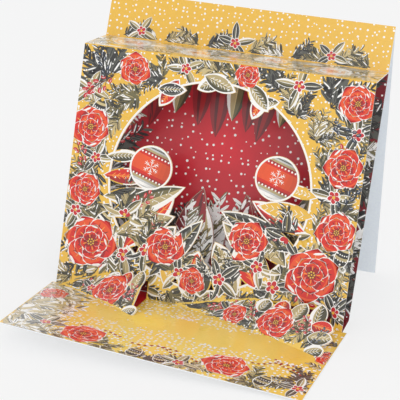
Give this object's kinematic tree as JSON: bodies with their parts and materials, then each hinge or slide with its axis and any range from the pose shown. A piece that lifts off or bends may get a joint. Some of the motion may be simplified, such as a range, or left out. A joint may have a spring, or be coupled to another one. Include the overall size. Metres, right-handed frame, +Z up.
{
  "type": "greeting card",
  "caption": "Standing three-dimensional greeting card: floor flap, front panel with a round die-cut window, shelf, inner layer of leaves, tall back and rear leg.",
  "frame": {"origin": "middle of the main fold where the front panel meets the floor, on the underside of the floor strip", "axes": "+X to the card's right seen from the front, +Y to the rear leg, +Z up"},
  "size_m": [0.165, 0.1709, 0.1474],
  "materials": {
    "printed_front": "gloss",
    "printed_back": "satin",
    "printed_layer": "satin"
  },
  "bodies": {
    "root": {"front_sheet": "printed_front", "backing_sheet": "printed_back", "middle_layer": "printed_layer"}
  },
  "joints": []
}
